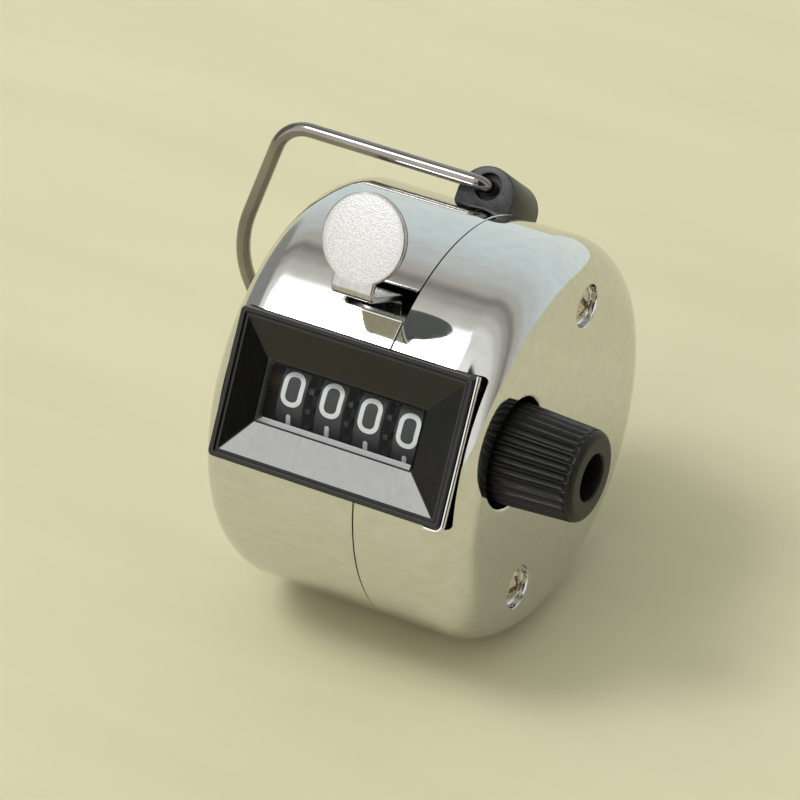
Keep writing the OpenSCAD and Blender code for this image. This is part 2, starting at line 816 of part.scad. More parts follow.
// Reset knob: tapered fluted barrel on the wheel shaft with a deep recess in its end
module reset_knob() {
  barrel = knob_x1 - knob_rim - case_w;
  lean = atan((knob_r - knob_end_r) / barrel);
  color([0.05, 0.05, 0.05]) as_lying() translate([0, -wheel_f, wheel_u]) rotate([0, 90, 0]) difference() {
    union() {
      translate([0, 0, knob_x0]) cylinder(h = case_w - knob_x0, r = knob_r);
      translate([0, 0, case_w]) cylinder(h = barrel, r1 = knob_r, r2 = knob_end_r);
      translate([0, 0, case_w + barrel]) cylinder(h = knob_rim, r1 = knob_end_r, r2 = knob_end_r - knob_rim);
    }
    for (i = [0 : flutes - 1]) {
      rotate([0, 0, 360 * i / flutes]) translate([knob_r, 0, case_w]) rotate([0, -lean, 0]) {
        translate([0, 0, -flute_in]) cylinder(h = flute_in + barrel - flute_stop, r = flute_r, $fn = 24);
      }
    }
    translate([0, 0, knob_x1 - knob_recess]) cylinder(h = knob_recess + cut_over, r = knob_recess_r);
    translate([0, 0, knob_x0 - cut_over]) cylinder(h = shaft_x1 - knob_x0 + cut_over, r = shaft_r + press_fit);
  }
}

left_case();
right_case();
case_posts();
case_screws();
window_bezel();
window_lens();
ring_lug();
lug_rivet();
finger_ring();
frame_plate_left();
frame_plate_right();
frame_pillars();
wheel_thousands();
wheel_hundreds();
wheel_tens();
wheel_units();
wheel_shaft();
wheel_spacer();
shaft_clip();
pinion_thousands();
pinion_hundreds();
pinion_tens();
pinion_shaft();
ratchet_wheel();
thumb_lever();
lever_sleeve();
drive_arm();
lever_pivot_pin();
lever_return_spring();
drive_pawl();
pawl_pin();
detent_spring();
reset_knob();
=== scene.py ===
import math

import bmesh
import bpy
import numpy as np
from mathutils import Matrix


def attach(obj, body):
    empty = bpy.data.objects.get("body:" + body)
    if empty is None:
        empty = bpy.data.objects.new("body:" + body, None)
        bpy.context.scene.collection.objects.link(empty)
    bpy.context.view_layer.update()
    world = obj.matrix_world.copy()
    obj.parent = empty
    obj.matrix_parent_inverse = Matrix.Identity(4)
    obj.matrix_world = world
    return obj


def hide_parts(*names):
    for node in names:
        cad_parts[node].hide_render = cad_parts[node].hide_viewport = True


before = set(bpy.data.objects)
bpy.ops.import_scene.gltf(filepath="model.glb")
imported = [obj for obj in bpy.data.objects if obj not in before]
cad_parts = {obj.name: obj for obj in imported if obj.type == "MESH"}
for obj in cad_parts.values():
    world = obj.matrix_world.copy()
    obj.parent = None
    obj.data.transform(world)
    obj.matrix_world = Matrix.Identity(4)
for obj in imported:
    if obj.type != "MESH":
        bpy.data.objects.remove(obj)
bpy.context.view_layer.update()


# Left cup of the drum: steel sheet drawn to a cup, polished and chrome plated, open at the seam.
# It has the window cut-out and the lever slot stamped in it, and a thin lip that slides into the right cup.
MM = 0.001
WINDOW_TILT = math.radians(28.4)
DRUM_R, DRUM_W, RIM_R, SHEET = 22.5, 32.0, 5.0, 0.8
CORE_R, INSIDE_R, INSIDE_RING, ON_DRUM = DRUM_R - RIM_R, DRUM_R - SHEET, 12, 0.02
END_RINGS, LEFT_WALL = np.array([0.0, 6.0, 12.0]), (5.5, 19.2)
SEAM_LEFT, SEAM_RIGHT, SEAM_EDGE = 19.64, 19.76, 0.14
LIP_OUT_R, LIP_IN_R, LIP_START, LIP_END = 21.65, 21.15, 18.2, 21.2
BEZEL_X, BEZEL_U, BEZEL_HALF_W, BEZEL_HALF_H = 16.2, 0.3, 13.8, 8.2
WINDOW_GAP, WINDOW_ROOM, WINDOW_CORNER, WINDOW_CUT = 0.58, 0.06, 0.66, (12, 30)
SLOT_LOW, SLOT_HIGH, SLOT_X = math.radians(30.5), math.radians(40.6), 12.5
SLOT_CUT_R, SLOT_CUT_X = (14.0, 30.0), 25


def arc(centre_a, centre_b, radius, start, end, count):
    """Points on a circle in the plane: centre + radius (cos t, sin t), t from start to end degrees."""
    t = np.radians(np.linspace(start, end, count))
    return np.stack([centre_a + radius * np.cos(t), centre_b + radius * np.sin(t)], -1)


def sheet_of(grid, wrap_rows=False, wrap_cols=False):
    """Quads between neighbouring points of a (rows, columns, 3) grid, closed round on request."""
    rows, cols = grid.shape[:2]
    index = np.arange(rows * cols).reshape(rows, cols)
    index = np.vstack([index, index[:1]]) if wrap_rows else index
    index = np.hstack([index, index[:, :1]]) if wrap_cols else index
    quads = np.stack([index[:-1, :-1], index[1:, :-1], index[1:, 1:], index[:-1, 1:]], -1)
    return grid.reshape(-1, 3), quads.reshape(-1, 4)


def turned(profile, steps=256, axis_f=0.0, axis_u=0.0, closed=False):
    """A (radius, x) profile turned about a line along X: y = r cos a - f, z = r sin a + u."""
    radius, x = np.asarray(profile, float).T
    a = np.linspace(0, 2 * math.pi, steps, endpoint=False)
    y = radius[:, None] * np.cos(a) - axis_f
    z = radius[:, None] * np.sin(a) + axis_u
    grid = np.stack([np.broadcast_to(x[:, None], y.shape), y, z], -1)
    return sheet_of(grid, wrap_rows=closed, wrap_cols=True)


def rounded_loop(half_a, half_b, radius, corner=8, side=6):
    """Closed loop round a rectangle with quarter-circle corners and even points along its sides, one row for
    each rectangle; half_a, half_b and radius may be columns of values."""
    q = np.radians(np.linspace(0, 90, corner))
    sign_a = np.repeat([1.0, -1.0, -1.0, 1.0], corner)
    sign_b = np.repeat([1.0, 1.0, -1.0, -1.0], corner)
    turn = np.concatenate([q + k * math.pi / 2 for k in range(4)])
    a = sign_a * (half_a - radius) + radius * np.cos(turn)
    b = sign_b * (half_b - radius) + radius * np.sin(turn)
    a, b = np.broadcast_arrays(a, b)
    place = np.concatenate([k * (corner + side) + np.arange(corner) for k in range(4)])
    whole = np.arange(4 * (corner + side))
    flat = [np.interp(whole, np.append(place, len(whole)), np.append(row, row[0]))
            for row in np.concatenate([a.reshape(-1, a.shape[-1]), b.reshape(-1, b.shape[-1])])]
    half = len(flat) // 2
    return np.array(flat[:half]), np.array(flat[half:])


def capped(rings):
    """Closes a stack of loops (rows, columns, 3) with a fan to the middle of its first and last loop."""
    ends = [np.broadcast_to(ring.mean(0), ring.shape)[None] for ring in (rings[0], rings[-1])]
    return sheet_of(np.concatenate([ends[0], rings, ends[1]]), wrap_cols=True)


def prism_x(loop_f, loop_u, x0, x1):
    """A flat outline in forward/up coordinates pushed along X from x0 to x1."""
    rings = [np.stack([np.full_like(loop_f, x), -loop_f, loop_u], -1) for x in (x0, x1)]
    return capped(np.array(rings))


def prism_front(loop_x, loop_u, f0, f1):
    """A flat outline on the window plane pushed forward from depth f0 to f1."""
    rings = [np.stack([loop_x, np.full_like(loop_x, -f), loop_u], -1) for f in (f0, f1)]
    return capped(np.array(rings))


def solid(name, *parts):
    """One mesh from several (points, quads) parts, in millimetres with the window upright, faces outward."""
    points = np.concatenate([p for p, _ in parts])
    starts = np.cumsum([0] + [len(p) for p, _ in parts[:-1]])
    quads = np.concatenate([q + s for (_, q), s in zip(parts, starts)])
    mesh = bpy.data.meshes.new(name)
    mesh.from_pydata(points.tolist(), [], quads.tolist())
    work = bmesh.new()
    work.from_mesh(mesh)
    bmesh.ops.remove_doubles(work, verts=work.verts, dist=1e-5)
    bmesh.ops.dissolve_degenerate(work, edges=work.edges, dist=1e-6)
    bmesh.ops.recalc_face_normals(work, faces=work.faces)
    work.to_mesh(mesh)
    work.free()
    piece = bpy.data.objects.new(name, mesh)
    bpy.context.scene.collection.objects.link(piece)
    return piece


def carve(piece, *cutters):
    """Cuts each cutter solid out of the piece and removes the cutter."""
    for cutter in cutters:
        cut = piece.modifiers.new("cut", "BOOLEAN")
        cut.operation, cut.solver, cut.object = "DIFFERENCE", "EXACT", cutter
        graph = bpy.context.evaluated_depsgraph_get()
        piece.data = bpy.data.meshes.new_from_object(piece.evaluated_get(graph))
        piece.modifiers.clear()
        bpy.data.objects.remove(cutter)
    return piece


def drum_normal(p):
    """The drum is all points RIM_R away from a core cylinder, so its normal is the way off that core over RIM_R;
    it is zero for a point that isn't on the drum."""
    r = np.hypot(p[:, 1], p[:, 2])
    radial = p * [0, 1, 1] / np.maximum(r, 1e-9)[:, None]
    off = (r - np.minimum(r, CORE_R))[:, None] * radial
    off[:, 0] = p[:, 0] - np.clip(p[:, 0], RIM_R, DRUM_W - RIM_R)
    near = np.abs(np.linalg.norm(off, axis=1) - RIM_R) < ON_DRUM
    return off / RIM_R * near[:, None]


def values(items, field, width=3, kind=float):
    """One field of all items of a mesh as an array with `width` columns."""
    flat = np.zeros(len(items) * width, kind)
    items.foreach_get(field, flat)
    return flat.reshape(-1, width)


def settle(piece, body, crease=35.0, ideal=None, agree=0.9):
    """Smooth shading with creases, then metres, the lying tilt and the body. Where `ideal` gives a normal whose
    cosine to the face is over `agree`, that exact normal takes the corner's place."""
    mesh = piece.data
    mesh.polygons.foreach_set("use_smooth", np.ones(len(mesh.polygons), bool))
    mesh.set_sharp_from_angle(angle=math.radians(crease))
    lie = Matrix.Rotation(-WINDOW_TILT, 4, "X")
    if ideal:
        corner_of = values(mesh.loops, "vertex_index", 1, int)[:, 0]
        corner = values(mesh.corner_normals, "vector")
        total = values(mesh.polygons, "loop_total", 1, int)[:, 0]
        exact = ideal(values(mesh.vertices, "co")[corner_of])
        near = (exact * np.repeat(values(mesh.polygons, "normal"), total, 0)).sum(1) > agree
        corner[near] = exact[near]
        corner = corner @ np.array(lie.to_3x3()).T
    mesh.transform(lie @ Matrix.Scale(MM, 4))
    if ideal:
        mesh.normals_split_custom_set(corner.tolist())
    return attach(piece, body)


def finish(name, dark, light, rough, grain, metallic=0.0, bump=0.05, depth=0.00002, detail=4.0,
           low=0.3, high=0.7, **sockets):
    """A surface whose colour, roughness and relief follow one noise, read between low and high; grain is the
    noise's size in millimetres along the drum, front to back and up. Values that stay the same all over sit on
    the shader's own sockets."""
    material = bpy.data.materials.new(name)
    material.use_nodes = True
    tree = material.node_tree
    shader = tree.nodes["Principled BSDF"]
    place = tree.nodes.new("ShaderNodeTexCoord")
    turn = tree.nodes.new("ShaderNodeMapping")
    turn.vector_type = "TEXTURE"
    turn.inputs["Rotation"].default_value = (-WINDOW_TILT, 0, 0)
    turn.inputs["Scale"].default_value = [g * MM for g in grain]
    noise = tree.nodes.new("ShaderNodeTexNoise")
    noise.inputs["Scale"].default_value = 1.0
    noise.inputs["Detail"].default_value = detail
    ramp = tree.nodes.new("ShaderNodeValToRGB")
    for element, at, colour in zip(ramp.color_ramp.elements, (low, high), (dark, light)):
        element.position, element.color = at, (*colour, 1)
    span = tree.nodes.new("ShaderNodeMapRange")
    span.inputs["From Min"].default_value, span.inputs["From Max"].default_value = low, high
    span.inputs["To Min"].default_value, span.inputs["To Max"].default_value = rough
    relief = tree.nodes.new("ShaderNodeBump")
    relief.inputs["Strength"].default_value = bump
    relief.inputs["Distance"].default_value = depth
    link = tree.links.new
    link(place.outputs["Object"], turn.inputs["Vector"])
    link(turn.outputs["Vector"], noise.inputs["Vector"])
    link(noise.outputs["Fac"], ramp.inputs["Fac"])
    link(noise.outputs["Fac"], span.inputs["Value"])
    link(noise.outputs["Fac"], relief.inputs["Height"])
    link(ramp.outputs["Color"], shader.inputs["Base Color"])
    link(span.outputs["Result"], shader.inputs["Roughness"])
    link(relief.outputs["Normal"], shader.inputs["Normal"])
    shader.inputs["Metallic"].default_value = metallic
    for socket, value in sockets.items():
        shader.inputs[socket.replace("_", " ")].default_value = value
    return material


def window_cutter():
    """The window frame's outline with a hair of room, and a wider gap on the knob side, pushed through the
    drum's front."""
    half_w = BEZEL_HALF_W + WINDOW_ROOM + WINDOW_GAP / 2
    loop_x, loop_u = rounded_loop(half_w, BEZEL_HALF_H + WINDOW_ROOM, WINDOW_CORNER)
    centre_x = BEZEL_X + WINDOW_GAP / 2
    return solid("window_cutter", prism_front(loop_x[0] + centre_x, loop_u[0] + BEZEL_U, *WINDOW_CUT))


chrome = finish("drum_chrome", (0.63, 0.635, 0.62), (0.69, 0.695, 0.68), (0.045, 0.075), (2.2, 1.1, 1.1),
                metallic=1.0, bump=0.035, depth=0.00003, detail=3.0)
left_profile = np.concatenate([
    np.stack([END_RINGS, np.zeros(len(END_RINGS))], -1),
    arc(CORE_R, RIM_R, RIM_R, -90, 0, 33),
    np.linspace([DRUM_R, LEFT_WALL[0]], [DRUM_R, LEFT_WALL[1]], 14),
    arc(DRUM_R - SEAM_EDGE, SEAM_LEFT - SEAM_EDGE, SEAM_EDGE, 0, 90, 6),
    [[LIP_OUT_R, SEAM_LEFT], [LIP_OUT_R, LIP_END], [LIP_IN_R, LIP_END], [LIP_IN_R, LIP_START],
     [INSIDE_R, LIP_START], [INSIDE_R, INSIDE_RING]],
    arc(CORE_R, RIM_R, RIM_R - SHEET, 0, -90, 17),
    [[0, SHEET]],
])
slot_reach = np.array(SLOT_CUT_R + SLOT_CUT_R[::-1])
slot_turn = np.array([SLOT_LOW, SLOT_LOW, SLOT_HIGH, SLOT_HIGH])
slot_f, slot_u = slot_reach * np.cos(slot_turn), slot_reach * np.sin(slot_turn)
slot_cutter = solid("slot_cutter", prism_x(slot_f, slot_u, SLOT_X, SLOT_CUT_X))
left_cup = carve(solid("left_cup", turned(left_profile)), window_cutter(), slot_cutter)
left_cup.data.materials.append(chrome)
settle(left_cup, "case", ideal=drum_normal)
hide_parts("left_case")


# Rolled edge of the lever slot: the stamped sheet is turned in along the slot, which leaves a bright bead.
# It runs along both long edges and round the slot's left end, and stops at the seam.
SLOT_BEAD, SLOT_BEAD_R, SLOT_BEAD_END = 0.2, DRUM_R - 0.12, SEAM_LEFT - 0.1
SLOT_CORNER, SLOT_MIDDLE = 0.5, 0.62


def tube(path, radius, sides, lean=None):
    """A circle carried along an open path and closed at both ends; its first axis is `lean` (or the path's own
    offset from its middle) with the part along the path taken out, its second axis is square to both."""
    along = np.gradient(path, axis=0)
    along /= np.linalg.norm(along, axis=1, keepdims=True)
    first = path - path.mean(0) if lean is None else np.broadcast_to(np.asarray(lean, float), path.shape)
    first = first - (first * along).sum(1, keepdims=True) * along
    first /= np.linalg.norm(first, axis=1, keepdims=True)
    second = np.cross(along, first)
    a = np.linspace(0, 2 * math.pi, sides, endpoint=False)[:, None]
    return capped(path[:, None] + radius * (np.cos(a) * first[:, None] + np.sin(a) * second[:, None]))


quarter = np.linspace(0, 1.57, 8)
corner_x, corner_turn = SLOT_X + SLOT_CORNER, SLOT_CORNER / DRUM_R
edge_x = np.concatenate([
    np.linspace(SLOT_BEAD_END, corner_x, 30),
    corner_x - SLOT_CORNER * np.sin(quarter),
    np.full(12, SLOT_X),
    corner_x - SLOT_CORNER * np.cos(quarter),
    np.linspace(corner_x, SLOT_BEAD_END, 30),
])
edge_turn = np.concatenate([
    np.full(30, SLOT_LOW),
    SLOT_LOW + corner_turn * (1 - np.cos(quarter)),
    np.linspace(SLOT_LOW + corner_turn, SLOT_HIGH - corner_turn, 12),
    SLOT_HIGH - corner_turn * (1 - np.sin(quarter)),
    np.full(30, SLOT_HIGH),
])
keep = np.append(True, (np.abs(np.diff(edge_x)) + np.abs(np.diff(edge_turn))) > 1e-4)
edge_path = np.stack([edge_x, -SLOT_BEAD_R * np.cos(edge_turn), SLOT_BEAD_R * np.sin(edge_turn)], -1)[keep]
slot_out = (0, -math.cos(SLOT_MIDDLE), math.sin(SLOT_MIDDLE))
slot_edge = solid("slot_edge", tube(edge_path, SLOT_BEAD, 16, lean=slot_out))
slot_edge.data.materials.append(chrome)
settle(slot_edge, "case")


# Right cup: the same drawn and plated sheet, closing the drum over the lip of the left cup.
# Its end has the round knob hole and two stamped dimples that the screws pull against.
WHEEL_F, WHEEL_U = 11.2, 0.3
POST_F, POST_U, POST_PITCH, DIMPLE_FLOOR = 1.4, 0.3, 15.6, 31.1
RIGHT_WALL, RIGHT_INSIDE_RING, END_BACK_R, END_BACK = (26.5, 20.2), 24, 20.0, 29.97
KNOB_HOLE_R, HOLE_CUT, BEHIND_R, BEHIND_CUT = 6.15, (27, 34), 7.6, (28, 31.2)
HOLE_EDGE = np.array([[0, -0.25], [0.05, -0.12], [0.15, -0.04], [0.3, 0.002]])
DIMPLE_R, DIMPLE_CURVE, DIMPLE_CUT_R, DIMPLE_CUT = 1.96, 0.4, 2.6, 33.5
DIMPLE_EDGE = np.array([[2.38, -0.2], [2.42, -0.07], [2.52, 0.002]])
right_profile = np.concatenate([
    np.stack([END_RINGS, np.full(len(END_RINGS), DRUM_W)], -1),
    arc(CORE_R, DRUM_W - RIM_R, RIM_R, 90, 0, 33),
    np.linspace([DRUM_R, RIGHT_WALL[0]], [DRUM_R, RIGHT_WALL[1]], 8),
    arc(DRUM_R - SEAM_EDGE, SEAM_RIGHT + SEAM_EDGE, SEAM_EDGE, 0, -90, 6),
    [[INSIDE_R, SEAM_RIGHT], [INSIDE_R, RIGHT_INSIDE_RING]],
    arc(CORE_R, DRUM_W - RIM_R, RIM_R - SHEET, 0, 45, 9),
    [[END_BACK_R, END_BACK], [0, END_BACK]],
])
hole_edge = HOLE_EDGE + [KNOB_HOLE_R, DRUM_W]
hole_profile = [[0, HOLE_CUT[0]], [KNOB_HOLE_R, HOLE_CUT[0]], *hole_edge,
                [hole_edge[-1, 0], HOLE_CUT[1]], [0, HOLE_CUT[1]]]
behind_profile = [[0, BEHIND_CUT[0]], [BEHIND_R, BEHIND_CUT[0]], [BEHIND_R, BEHIND_CUT[1]], [0, BEHIND_CUT[1]]]
dimple_profile = np.concatenate([
    [[0, DIMPLE_FLOOR], [DIMPLE_R, DIMPLE_FLOOR]],
    arc(DIMPLE_R, DIMPLE_FLOOR + DIMPLE_CURVE, DIMPLE_CURVE, -90, -10, 7),
    DIMPLE_EDGE + [0, DRUM_W],
    [[DIMPLE_CUT_R, DIMPLE_CUT], [0, DIMPLE_CUT]],
])
right_cup = carve(
    solid("right_cup", turned(right_profile)), window_cutter(),
    solid("hole_behind", turned(behind_profile, 96, WHEEL_F, WHEEL_U)),
    solid("knob_hole", turned(hole_profile, 144, WHEEL_F, WHEEL_U)),
    *[solid("dimple", turned(dimple_profile, 96, POST_F, POST_U + s * POST_PITCH)) for s in (-1, 1)])
right_cup.data.materials.append(chrome)
settle(right_cup, "case", ideal=drum_normal)
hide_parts("right_case")


# Frame inside the drum: two stamped brass plates on turned pillars, with the posts that the case screws grip.
# They stay as the solids are and only take their finishes.
def dress(material, *nodes):
    """Gives solids of the frame their finish."""
    for node in nodes:
        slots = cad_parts[node].data.materials
        slots.clear()
        slots.append(material)


plate_brass = finish("plate_brass", (0.56, 0.44, 0.2), (0.7, 0.57, 0.28), (0.28, 0.42), (0.4, 3.0, 0.15),
                     metallic=1.0)
dress(plate_brass, "frame_plate_left", "frame_plate_right", "frame_pillars", "wheel_spacer")
post_steel = finish("post_steel", (0.46, 0.46, 0.47), (0.6, 0.6, 0.6), (0.25, 0.4), (0.2, 1.0, 1.0),
                    metallic=1.0)
dress(post_steel, "case_posts", "lug_rivet")


# Shafts and springs: ground steel rods carry the wheels, the pinions and the lever, and hard drawn wire
# and strip make the return spring and the leaf that holds the ratchet between strokes.
rod_steel = finish("rod_steel", (0.55, 0.55, 0.56), (0.68, 0.68, 0.69), (0.15, 0.26), (0.12, 1.5, 1.5),
                   metallic=1.0)
dress(rod_steel, "wheel_shaft", "pinion_shaft", "lever_pivot_pin", "pawl_pin", "shaft_clip")
spring_steel = finish("spring_steel", (0.3, 0.31, 0.33), (0.42, 0.43, 0.46), (0.25, 0.35), (0.15, 0.6, 0.6),
                      metallic=1.0)
dress(spring_steel, "lever_return_spring", "detent_spring")


# Counting drive: brass pinions and ratchet with cut teeth, and the stamped steel sleeve, arm and pawl of the
# lever. All of it lies behind the window and the case.
gear_brass = finish("gear_brass", (0.6, 0.48, 0.2), (0.74, 0.61, 0.3), (0.25, 0.38), (0.3, 0.3, 1.2),
                    metallic=1.0)
dress(gear_brass, "pinion_thousands", "pinion_hundreds", "pinion_tens", "ratchet_wheel")
arm_steel = finish("arm_steel", (0.46, 0.46, 0.47), (0.6, 0.6, 0.61), (0.25, 0.38), (0.2, 1.2, 0.2),
                   metallic=1.0)
dress(arm_steel, "lever_sleeve", "drive_arm", "drive_pawl")


# Number wheels: moulded black rims on the shaft, each with a driven gear or a carry cam on its side.
# The digits are printed in white, upright in the window, and the next one comes up from below.
WHEEL_R, WHEEL_HALF, WHEEL_EDGE, HUB_R, HUB_HALF, BORE_R = 7.4, 1.6, 0.15, 2.6, 2.2, 1.55
WHEELS = {"thousands": (8.9, 4.4), "hundreds": (13.55, 5.3), "tens": (18.2, 3.2), "units": (22.85, 1.3)}
GEAR, CAM, SIDE_T = (20, 5.6, 6.87, 4.6, 2.2, -43), (36, 4.6, 4.65, 3, 2, 70), 0.6
DIGIT_HALF_W, DIGIT_HALF_H, DIGIT_STEP, ZERO_CORNER = 1.0, 1.62, math.radians(36), 0.88
STROKE_HALF, STROKE_POINTS, STROKE_FLAT, STROKE_TIP = 0.27, 72, 0.94, 0.0004
STROKE_CAP = np.linspace(1, 0, 7)[:-1, None]
PRINT_T, PRINT_SINK = 0.03, 0.02


def toothed(count, root, tip, root_half, tip_half, turn):
    """Trapezoid teeth as one closed outline about the wheel axis, angles in degrees from the back upwards."""
    flank = np.array([-root_half, -tip_half, tip_half, root_half])
    a = np.radians(360 / count * np.arange(count)[:, None] + flank + turn)
    r = np.array([root, tip, tip, root])
    return WHEEL_F - (r * np.cos(a)).ravel(), WHEEL_U + (r * np.sin(a)).ravel()


def bow(cx, cy, rx, ry, start, end, count=28):
    """Part of an ellipse as a stroke of a digit, in half-widths and half-heights of the digit."""
    t = np.radians(np.linspace(start, end, count))
    return np.stack([cx + rx * np.cos(t), cy + ry * np.sin(t)], -1)


def ribbon(line, wheel_x, turn):
    """A stroke as a thin raised ribbon on the wheel: even points along the line, offset to both sides, round
    ends where it is open, then wrapped so that height becomes angle: a = turn + h / R."""
    line = line * [DIGIT_HALF_W, DIGIT_HALF_H]
    ring = np.allclose(line[0], line[-1])
    reach = np.append(0, np.cumsum(np.linalg.norm(np.diff(line, axis=0), axis=1)))
    at = np.linspace(0, reach[-1], STROKE_POINTS)
    mid = np.stack([np.interp(at, reach, line[:, k]) for k in (0, 1)], -1)
    mid = mid[:-1] if ring else mid
    along = np.roll(mid, -1, 0) - np.roll(mid, 1, 0) if ring else np.gradient(mid, axis=0)
    along /= np.linalg.norm(along, axis=1, keepdims=True)
    wide = np.full(len(mid), STROKE_HALF)
    if not ring:
        start = mid[0] - along[0] * STROKE_HALF * STROKE_CAP
        end = mid[-1] + along[-1] * STROKE_HALF * STROKE_CAP[::-1]
        mid = np.concatenate([start, mid, end])
        along = np.concatenate([along[:1].repeat(len(start), 0), along, along[-1:].repeat(len(end), 0)])
        round_end = STROKE_HALF * np.sqrt(np.clip(1 - STROKE_CAP[:, 0] ** 2, STROKE_TIP, 1))
        wide = np.concatenate([round_end, wide, round_end[::-1]])
    side = np.stack([-along[:, 1], along[:, 0]], -1) * wide[:, None]
    across = np.array([-1, -STROKE_FLAT, STROKE_FLAT, 1])
    lift = np.array([-PRINT_SINK, PRINT_T, PRINT_T, -PRINT_SINK])
    flat = mid[:, None] + side[:, None] * across[:, None]
    radius, a = WHEEL_R + np.broadcast_to(lift, flat.shape[:2]), turn + flat[..., 1] / WHEEL_R
    forward, up = WHEEL_F + radius * np.cos(a), WHEEL_U + radius * np.sin(a)
    grid = np.stack([wheel_x + flat[..., 0], -forward, up], -1)
    return sheet_of(grid, wrap_rows=ring, wrap_cols=True) if ring else capped(grid)


# The centre lines of the digits 0 to 9, in half-widths and half-heights; a closed one ends where it starts.
tall = DIGIT_HALF_H / DIGIT_HALF_W
zero = np.stack([row[0] for row in rounded_loop(1.0, tall, ZERO_CORNER, 10, 5)], -1) / [1, tall]
six = [bow(0, -0.42, 1, 0.58, 0, 360, 48), bow(0.9, -0.42, 1.9, 1.42, 180, 105, 20)]
digit_strokes = [
    [np.concatenate([zero, zero[:1]])],
    [np.array([[0.0, 1], [0, -1]])],
    [np.concatenate([bow(0, 0.42, 1, 0.58, 165, -35), [[-1, -1], [1, -1]]])],
    [bow(0, 0.48, 0.92, 0.52, 150, -90), bow(0, -0.48, 1, 0.52, 90, -150)],
    [np.array([[0.45, -1], [0.45, 1], [-1, -0.45], [1, -0.45]])],
    [np.concatenate([[[0.9, 1], [-0.8, 1], [-0.88, 0.05]], bow(0, -0.36, 1, 0.64, 125, -150)])],
    six,
    [np.array([[-1, 1], [1, 1], [-0.25, -1]])],
    [bow(0, 0.5, 0.86, 0.5, 0, 360, 48), bow(0, -0.48, 1, 0.52, 0, 360, 48)],
    [-stroke for stroke in six],
]
wheel_black = finish("wheel_black", (0.028, 0.029, 0.031), (0.045, 0.046, 0.05), (0.42, 0.6), (0.25, 0.25, 0.25),
                     bump=0.15)
digit_white = finish("digit_white", (0.78, 0.84, 0.88), (0.88, 0.93, 0.96), (0.45, 0.6), (0.2, 0.2, 0.2),
                     bump=0.1)
for name, (x, rise) in WHEELS.items():
    left, right = x - WHEEL_HALF, x + WHEEL_HALF
    rim = np.concatenate([
        [[BORE_R, x - HUB_HALF], [HUB_R, x - HUB_HALF], [HUB_R, left]],
        arc(WHEEL_R - WHEEL_EDGE, left + WHEEL_EDGE, WHEEL_EDGE, -90, 0, 5),
        arc(WHEEL_R - WHEEL_EDGE, right - WHEEL_EDGE, WHEEL_EDGE, 0, 90, 5),
        [[HUB_R, right], [HUB_R, x + HUB_HALF], [BORE_R, x + HUB_HALF]],
    ])
    parts = [turned(rim, 160, WHEEL_F, WHEEL_U, closed=True)]
    if name != "units":
        parts.append(prism_x(*toothed(*GEAR), right, right + SIDE_T))
    if name != "thousands":
        parts.append(prism_x(*toothed(*CAM), left - SIDE_T, left))
    wheel = solid("number_wheel_" + name, *parts)
    wheel.data.materials.append(wheel_black)
    settle(wheel, name)
    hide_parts("wheel_" + name)
    turns = math.radians(rise) - DIGIT_STEP * np.arange(len(digit_strokes))
    digits = solid("digits_" + name, *[ribbon(line, x, turn) for turn, lines in zip(turns, digit_strokes)
                                       for line in lines])
    digits.data.materials.append(digit_white)
    settle(digits, name)


# Thumb lever: steel sheet blanked to a round pad on a narrow stem, bent back through the slot, nickel plated.
# The pad's face is sandblasted white and sparkles, the stem is left smooth; it is welded to the sleeve inside.
PAD_R, PAD_U, PAD_F, PAD_CROWN, PAD_FROM_F, PAD_STEPS = 4.8, 19.45, 25.5, 0.3, 24, 60
LEVER_X, STEM_HALF, LEVER_HALF_T, LEVER_EDGE, TIP_HALF = 16.0, 2.4, 0.4, 0.22, 0.03
LEG_U, LEG_END, BEND_R, LEVER_STEP, EDGE_MOST = 13.55, 18.8, 0.7, 0.1, 0.9
LEG_DIP = np.array([[18.6, LEG_U], [17.2, LEG_U], [16.8, 11.6]])
BLAST_RIM, BLAST_FADE, BLAST_SINK, BACK_SHADE_SINK = 0.1, 0.25, 0.1, 0.15
PIT_SCALE, PIT_DEPTH, PIT_PALE = 5200.0, 0.00006, 0.6
pad_foot = PAD_U - math.sqrt(PAD_R ** 2 - STEM_HALF ** 2)
pad_turn = np.linspace(0, math.pi - math.asin(STEM_HALF / PAD_R), PAD_STEPS)
dip = np.linspace(0, 1, 16)[:, None]
lever_line = np.concatenate([
    np.stack([np.full(PAD_STEPS, PAD_F), PAD_U + PAD_R * np.cos(pad_turn)], -1),
    np.linspace([PAD_F, pad_foot - LEVER_STEP], [PAD_F, LEG_U + BEND_R + LEVER_STEP], 5),
    arc(PAD_F - BEND_R, LEG_U + BEND_R, BEND_R, 0, -90, 14),
    np.linspace([PAD_F - BEND_R - 2 * LEVER_STEP, LEG_U], [LEG_END, LEG_U], 14),
    (1 - dip) ** 2 * LEG_DIP[0] + 2 * dip * (1 - dip) * LEG_DIP[1] + dip ** 2 * LEG_DIP[2],
])
lever_half = np.concatenate([PAD_R * np.sin(pad_turn), np.full(len(lever_line) - PAD_STEPS, STEM_HALF)])
lever_half = np.maximum(lever_half, TIP_HALF)[:, None]
lever_edge = np.minimum(LEVER_EDGE, lever_half * EDGE_MOST)
lever_along = np.gradient(lever_line, axis=0)
lever_along /= np.linalg.norm(lever_along, axis=1, keepdims=True)
lever_face = np.stack([-lever_along[:, 1], lever_along[:, 0]], -1)
across, through = rounded_loop(lever_half, np.full_like(lever_half, LEVER_HALF_T), lever_edge, 7, 14)
lever_fu = lever_line[:, None] + through[..., None] * lever_face[:, None]
pad_share = np.minimum((across ** 2 + (lever_fu[..., 1] - PAD_U) ** 2) / PAD_R ** 2, 1)
pad_bow = PAD_CROWN * (pad_share - 0.5) * (lever_fu[..., 0] > PAD_FROM_F)
